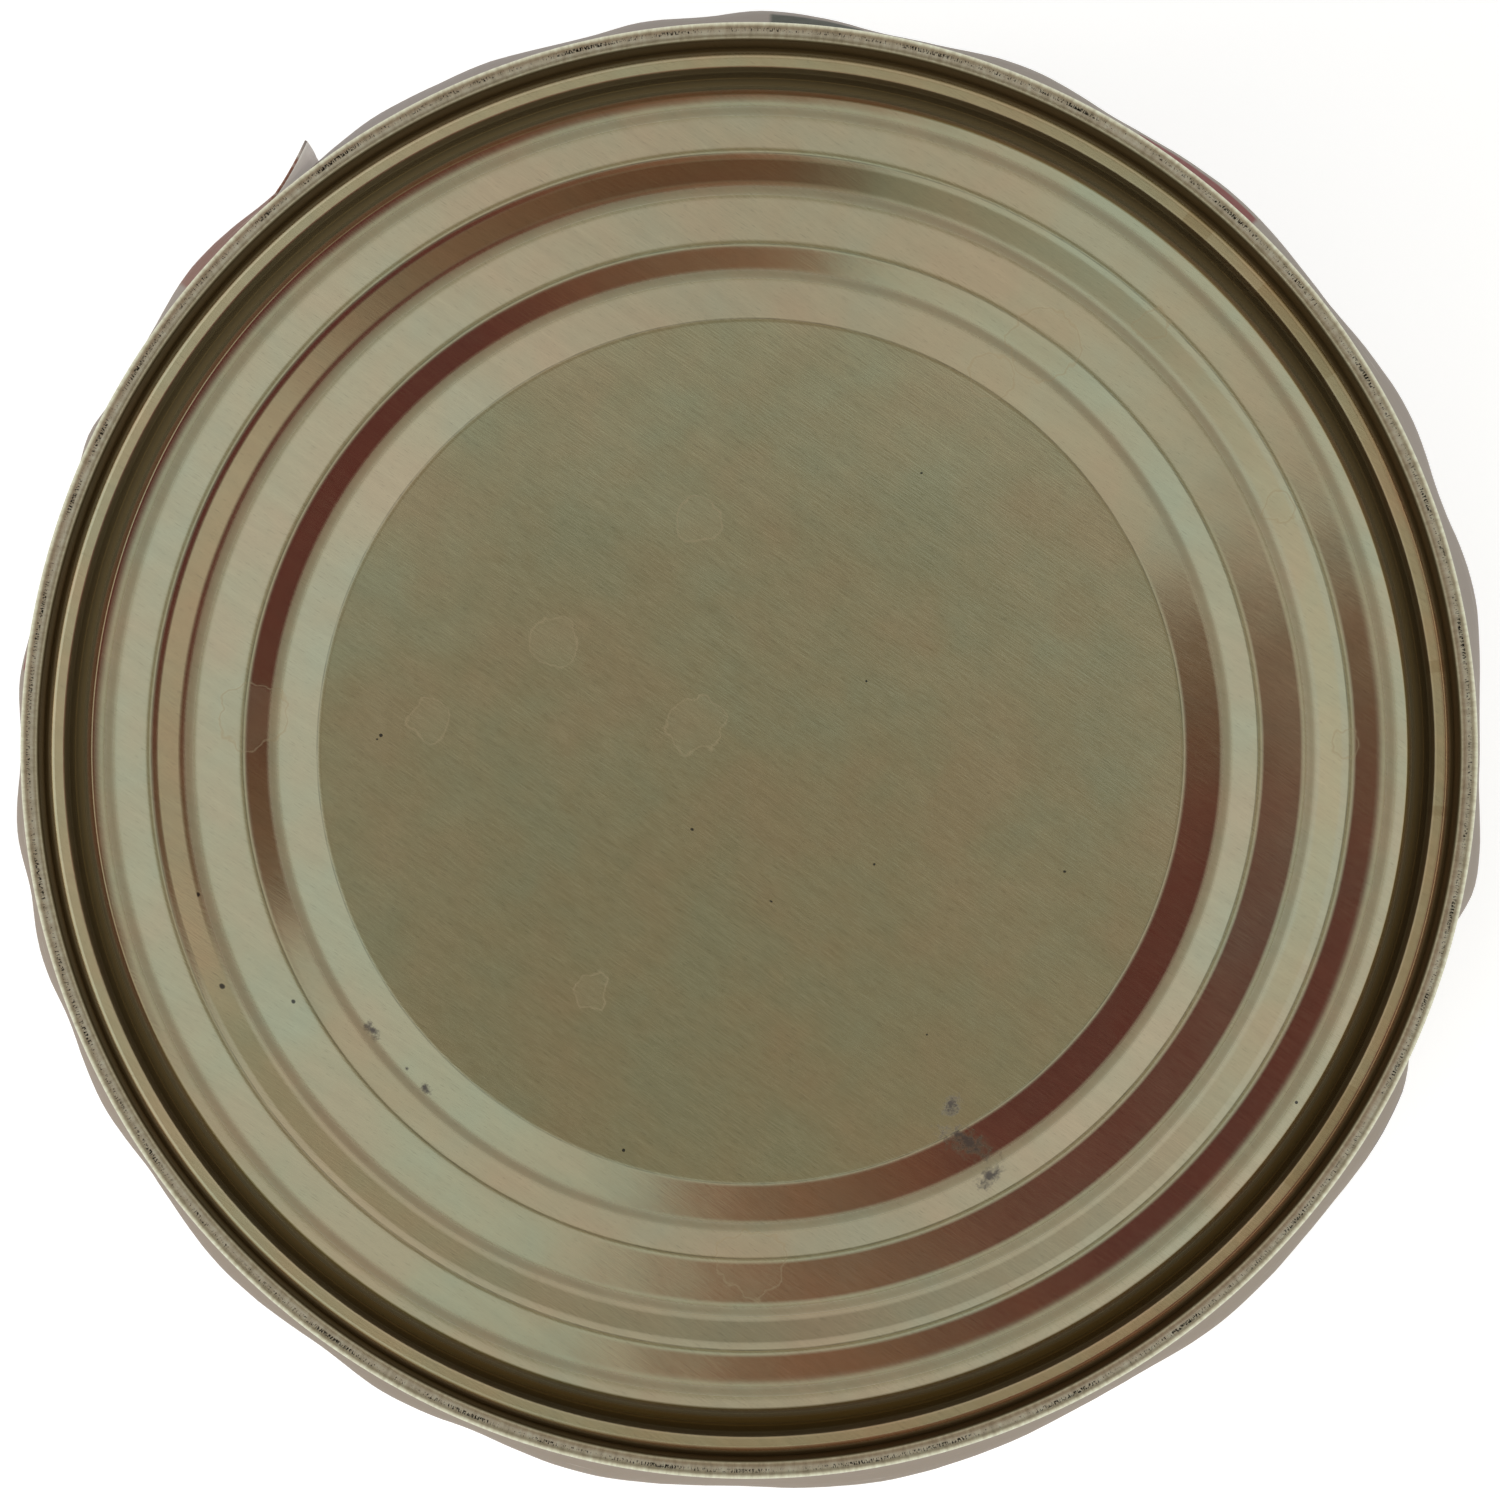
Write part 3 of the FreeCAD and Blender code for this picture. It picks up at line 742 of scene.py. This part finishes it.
def tent_material():
    """What the metal mirrors: olive dimness round the lens, pale cloth, a red-brown hanging to one
    side, and the dark room below the cloth. Angles are in degrees from straight up and round the can."""
    material, tree = new_material("tent_cloth")
    place = add(tree, "TexCoord", out=3)
    centred = add(tree, "VectorMath", place, (0.0, 0.0, CAN_HEIGHT * MM), operation="SUBTRACT")
    unit = add(tree, "VectorMath", centred, operation="NORMALIZE")
    up = add(tree, "SeparateXYZ", unit, out=2)
    down = add(tree, "Math", up, operation="ARCCOSINE")
    down = add(tree, "Math", down, operation="DEGREES")
    # Degrees round the can, counted from the middle of the red-brown hanging
    swung = add(tree, "VectorRotate", unit, named={"Angle": -HANGING_SIDE}, rotation_type="Z_AXIS")
    u, v = [add(tree, "SeparateXYZ", swung, out=axis) for axis in range(2)]
    around = add(tree, "Math", v, u, operation="ARCTAN2")
    around = add(tree, "Math", around, operation="DEGREES")

    # Pale cloth, cooler on one side and warmer on the other
    turn = add(tree, "MapRange", around, -180.0, 180.0, 0.0, 1.0)
    round_pale = ramp(tree, turn, [
        (0.0, "#EFEBEF"), (0.115, "#ECECF2"), (0.24, "#E4E8EB"), (0.36, "#E0E2E0"), (0.64, "#E0DCDA"),
        (0.74, "#E6DEDC"), (0.865, "#D9D0D0"), (0.94, "#E4DCDE"), (1.0, "#EFEBEF"),
    ])
    share = add(tree, "Math", down, 90.0, operation="DIVIDE")
    pale = window(tree, down, 4.6, 23.5, 1.0)
    cloth = ramp(tree, share, [
        (33.0 / 90, "#D8D1C0"), (37.0 / 90, "#A39370"), (48.0 / 90, "#756254"),
        (60.0 / 90, "#756254"), (74.0 / 90, "#D8CCBE"), (90.0 / 90, "#F4EADC"),
    ])
    round_dark = ramp(tree, turn, [
        (0.0, "#AB9060"), (0.114, "#C5B897"), (0.24, "#FFF4F4"), (0.364, "#EBE4D5"), (0.49, "#F4EFF5"),
        (0.614, "#D8C8BC"), (0.74, "#C0BCA0"), (0.864, "#A69A8B"), (1.0, "#AB9060"),
    ])
    round_low = ramp(tree, turn, [
        (0.0, "#DDD5D4"), (0.114, "#F1ECE9"), (0.2, "#E8E4E1"), (0.26, "#C8C4BE"), (0.336, "#A8A498"),
        (0.683, "#BCB3A5"), (0.74, "#BCB3A5"), (0.864, "#A89F98"), (0.95, "#C4BBB8"), (1.0, "#D5CDCD"),
    ])
    low = add(tree, "MapRange", down, 33.0, 36.0, 1.0, 0.0, interpolation_type="SMOOTHSTEP")
    under_red = add(tree, "Math", window(tree, around, -61.0, 63.0, 4.0),
                    window(tree, down, 34.5, 62.0, 2.0), operation="MULTIPLY")
    cloth = mix(tree, under_red, cloth, linear("#84604F"))
    room = add(tree, "MapRange", down, 62.0, 70.0, 1.0, 0.0)
    cloth = mix(tree, room, cloth, round_dark, "MULTIPLY")
    cloth = mix(tree, low, cloth, round_low)
    # Olive dimness overhead, warmer towards one side
    across = add(tree, "VectorMath", unit, (0.87, -0.5, 0.0), out=1, operation="DOT_PRODUCT")
    across = add(tree, "MapRange", across, -0.065, 0.03, 0.0, 1.0)
    dim = ramp(tree, across, [(0.0, "#958D79"), (1.0, "#A99D8A")])
    overhead = add(tree, "Math", down, 14.0, operation="LESS_THAN")
    cloth = mix(tree, overhead, cloth, dim)
    seen = mix(tree, pale, cloth, round_pale)
    places = add(tree, "MapRange", around, -66.0, 66.0, 0.0, 1.0)
    red = ramp(tree, places, [
        (0.0, "#B08C78"), (0.15, "#A07868"), (0.26, "#94695A"), (0.32, "#763F43"), (0.7, "#733E3E"),
        (0.82, "#856351"), (1.0, "#866753"),
    ])
    hanging = add(tree, "Math", window(tree, around, -57.5, 55.0, 3.0),
                  window(tree, down, 0.0, 24.5, 1.4), operation="MULTIPLY")
    fringe = add(tree, "MapRange", down, 6.0, 14.0, 0.0, 1.0, interpolation_type="SMOOTHSTEP")
    hanging = add(tree, "Math", hanging, fringe, operation="MULTIPLY")
    seen = mix(tree, hanging, seen, red)
    below = ramp(tree, places, [(0.0, "#80604F"), (0.22, "#7E5849"), (0.4, "#A08474"), (0.54, "#E7D8D0")])
    under = add(tree, "Math", window(tree, around, -58.0, 63.0, 3.0),
                window(tree, down, 25.5, 34.0, 1.0), operation="MULTIPLY")
    seen = mix(tree, under, seen, below)
    glow = add(tree, "Emission", seen, 1.0)
    add(tree, "OutputMaterial", glow)
    return material


def make_tent():
    """A dome that only mirrored rays meet."""
    bm = bmesh.new()
    bmesh.ops.create_uvsphere(bm, u_segments=64, v_segments=32, radius=TENT_RADIUS * MM)
    geometry = bm.verts[:] + bm.edges[:] + bm.faces[:]
    bmesh.ops.bisect_plane(bm, geom=geometry, plane_co=(0, 0, 0), plane_no=(0, 0, 1), clear_inner=True)
    tent = stage_mesh(bm, "light_tent", tent_material())
    seen_by(tent, glossy=True)


def make_floor():
    """Pale floor, bright enough to the camera to read as white but for the can's shadow."""
    material, tree = new_material("white_floor")
    path = add(tree, "LightPath")
    seen = add(tree, "Math", path, path.node.outputs["Is Glossy Ray"], operation="MAXIMUM")
    paint = add(tree, "BsdfDiffuse", linear("#E6E6E4"))
    lift = add(tree, "Math", seen, 0.45, operation="MULTIPLY")
    glow = add(tree, "Emission", linear("#FFFFFF"), lift)
    both = add(tree, "AddShader", paint, glow)
    add(tree, "OutputMaterial", both)
    bm = bmesh.new()
    bmesh.ops.create_grid(bm, x_segments=1, y_segments=1, size=FLOOR_SIZE * MM)
    stage_mesh(bm, "floor", material)


def make_world():
    """Even pale surroundings, white to the camera."""
    world = bpy.data.worlds.new("surroundings")
    bpy.context.scene.world = world
    world.use_nodes = True
    tree = world.node_tree
    tree.nodes.clear()
    path = add(tree, "LightPath")
    mirrored = add(tree, "Math", path.node.outputs["Is Glossy Ray"],
                   path.node.outputs["Is Transmission Ray"], operation="MAXIMUM")
    seen = add(tree, "Math", path, mirrored, operation="MAXIMUM")
    strength = add(tree, "MapRange", seen, 0.0, 1.0, 0.7, 1.0)
    glow = add(tree, "Background", linear("#FFFFFF"), strength)
    add(tree, "OutputWorld", glow)


def add_lamp(name, place, size, energy):
    """A soft square lamp aimed at the middle of the can."""
    lamp = bpy.data.lights.new(name, "AREA")
    lamp.size = size * MM
    lamp.energy = energy
    obj = bpy.data.objects.new(name, lamp)
    obj.location = Vector(place) * MM
    aim = Vector((0.0, 0.0, CAN_HEIGHT / 2.0)) * MM - obj.location
    obj.rotation_euler = aim.to_track_quat("-Z", "Y").to_euler()
    bpy.context.scene.collection.objects.link(obj)
    seen_by(obj, diffuse=True, shadow=True)


def make_camera():
    """Looks down on the end from just off the can's axis, with +Y up in the frame."""
    tilt = math.radians(VIEW_TILT)
    side = math.radians(VIEW_SIDE)
    aim = Vector((VIEW_AIM.x, VIEW_AIM.y, CAN_HEIGHT))
    back = Vector((math.sin(tilt) * math.cos(side), math.sin(tilt) * math.sin(side), math.cos(tilt)))
    right = Vector((0.0, 1.0, 0.0)).cross(back).normalized()
    up = back.cross(right)
    data = bpy.data.cameras.new("camera")
    data.sensor_width = SENSOR_WIDTH
    data.lens = SENSOR_WIDTH * VIEW_DISTANCE / VIEW_WIDTH
    data.clip_start = 0.01
    camera = bpy.data.objects.new("camera", data)
    camera.matrix_world = Matrix.Translation((aim + back * VIEW_DISTANCE) * MM) @ \
        Matrix((right, up, back)).transposed().to_4x4()
    bpy.context.scene.collection.objects.link(camera)
    bpy.context.scene.camera = camera


make_camera()
make_world()
make_floor()
make_tent()
add_lamp("key_lamp", (-420.0, -260.0, 620.0), 420.0, 2.0)
add_lamp("fill_lamp", (480.0, -380.0, 380.0), 500.0, 1.0)
bpy.context.scene.view_settings.view_transform = "Standard"

END_TINPLATE = tinplate("tinplate_end")
make_top_end(END_TINPLATE)
make_bottom_end(END_TINPLATE)
make_can_wall(tinplate("tinplate_body"))
make_label(printed_paper(), paper_back())
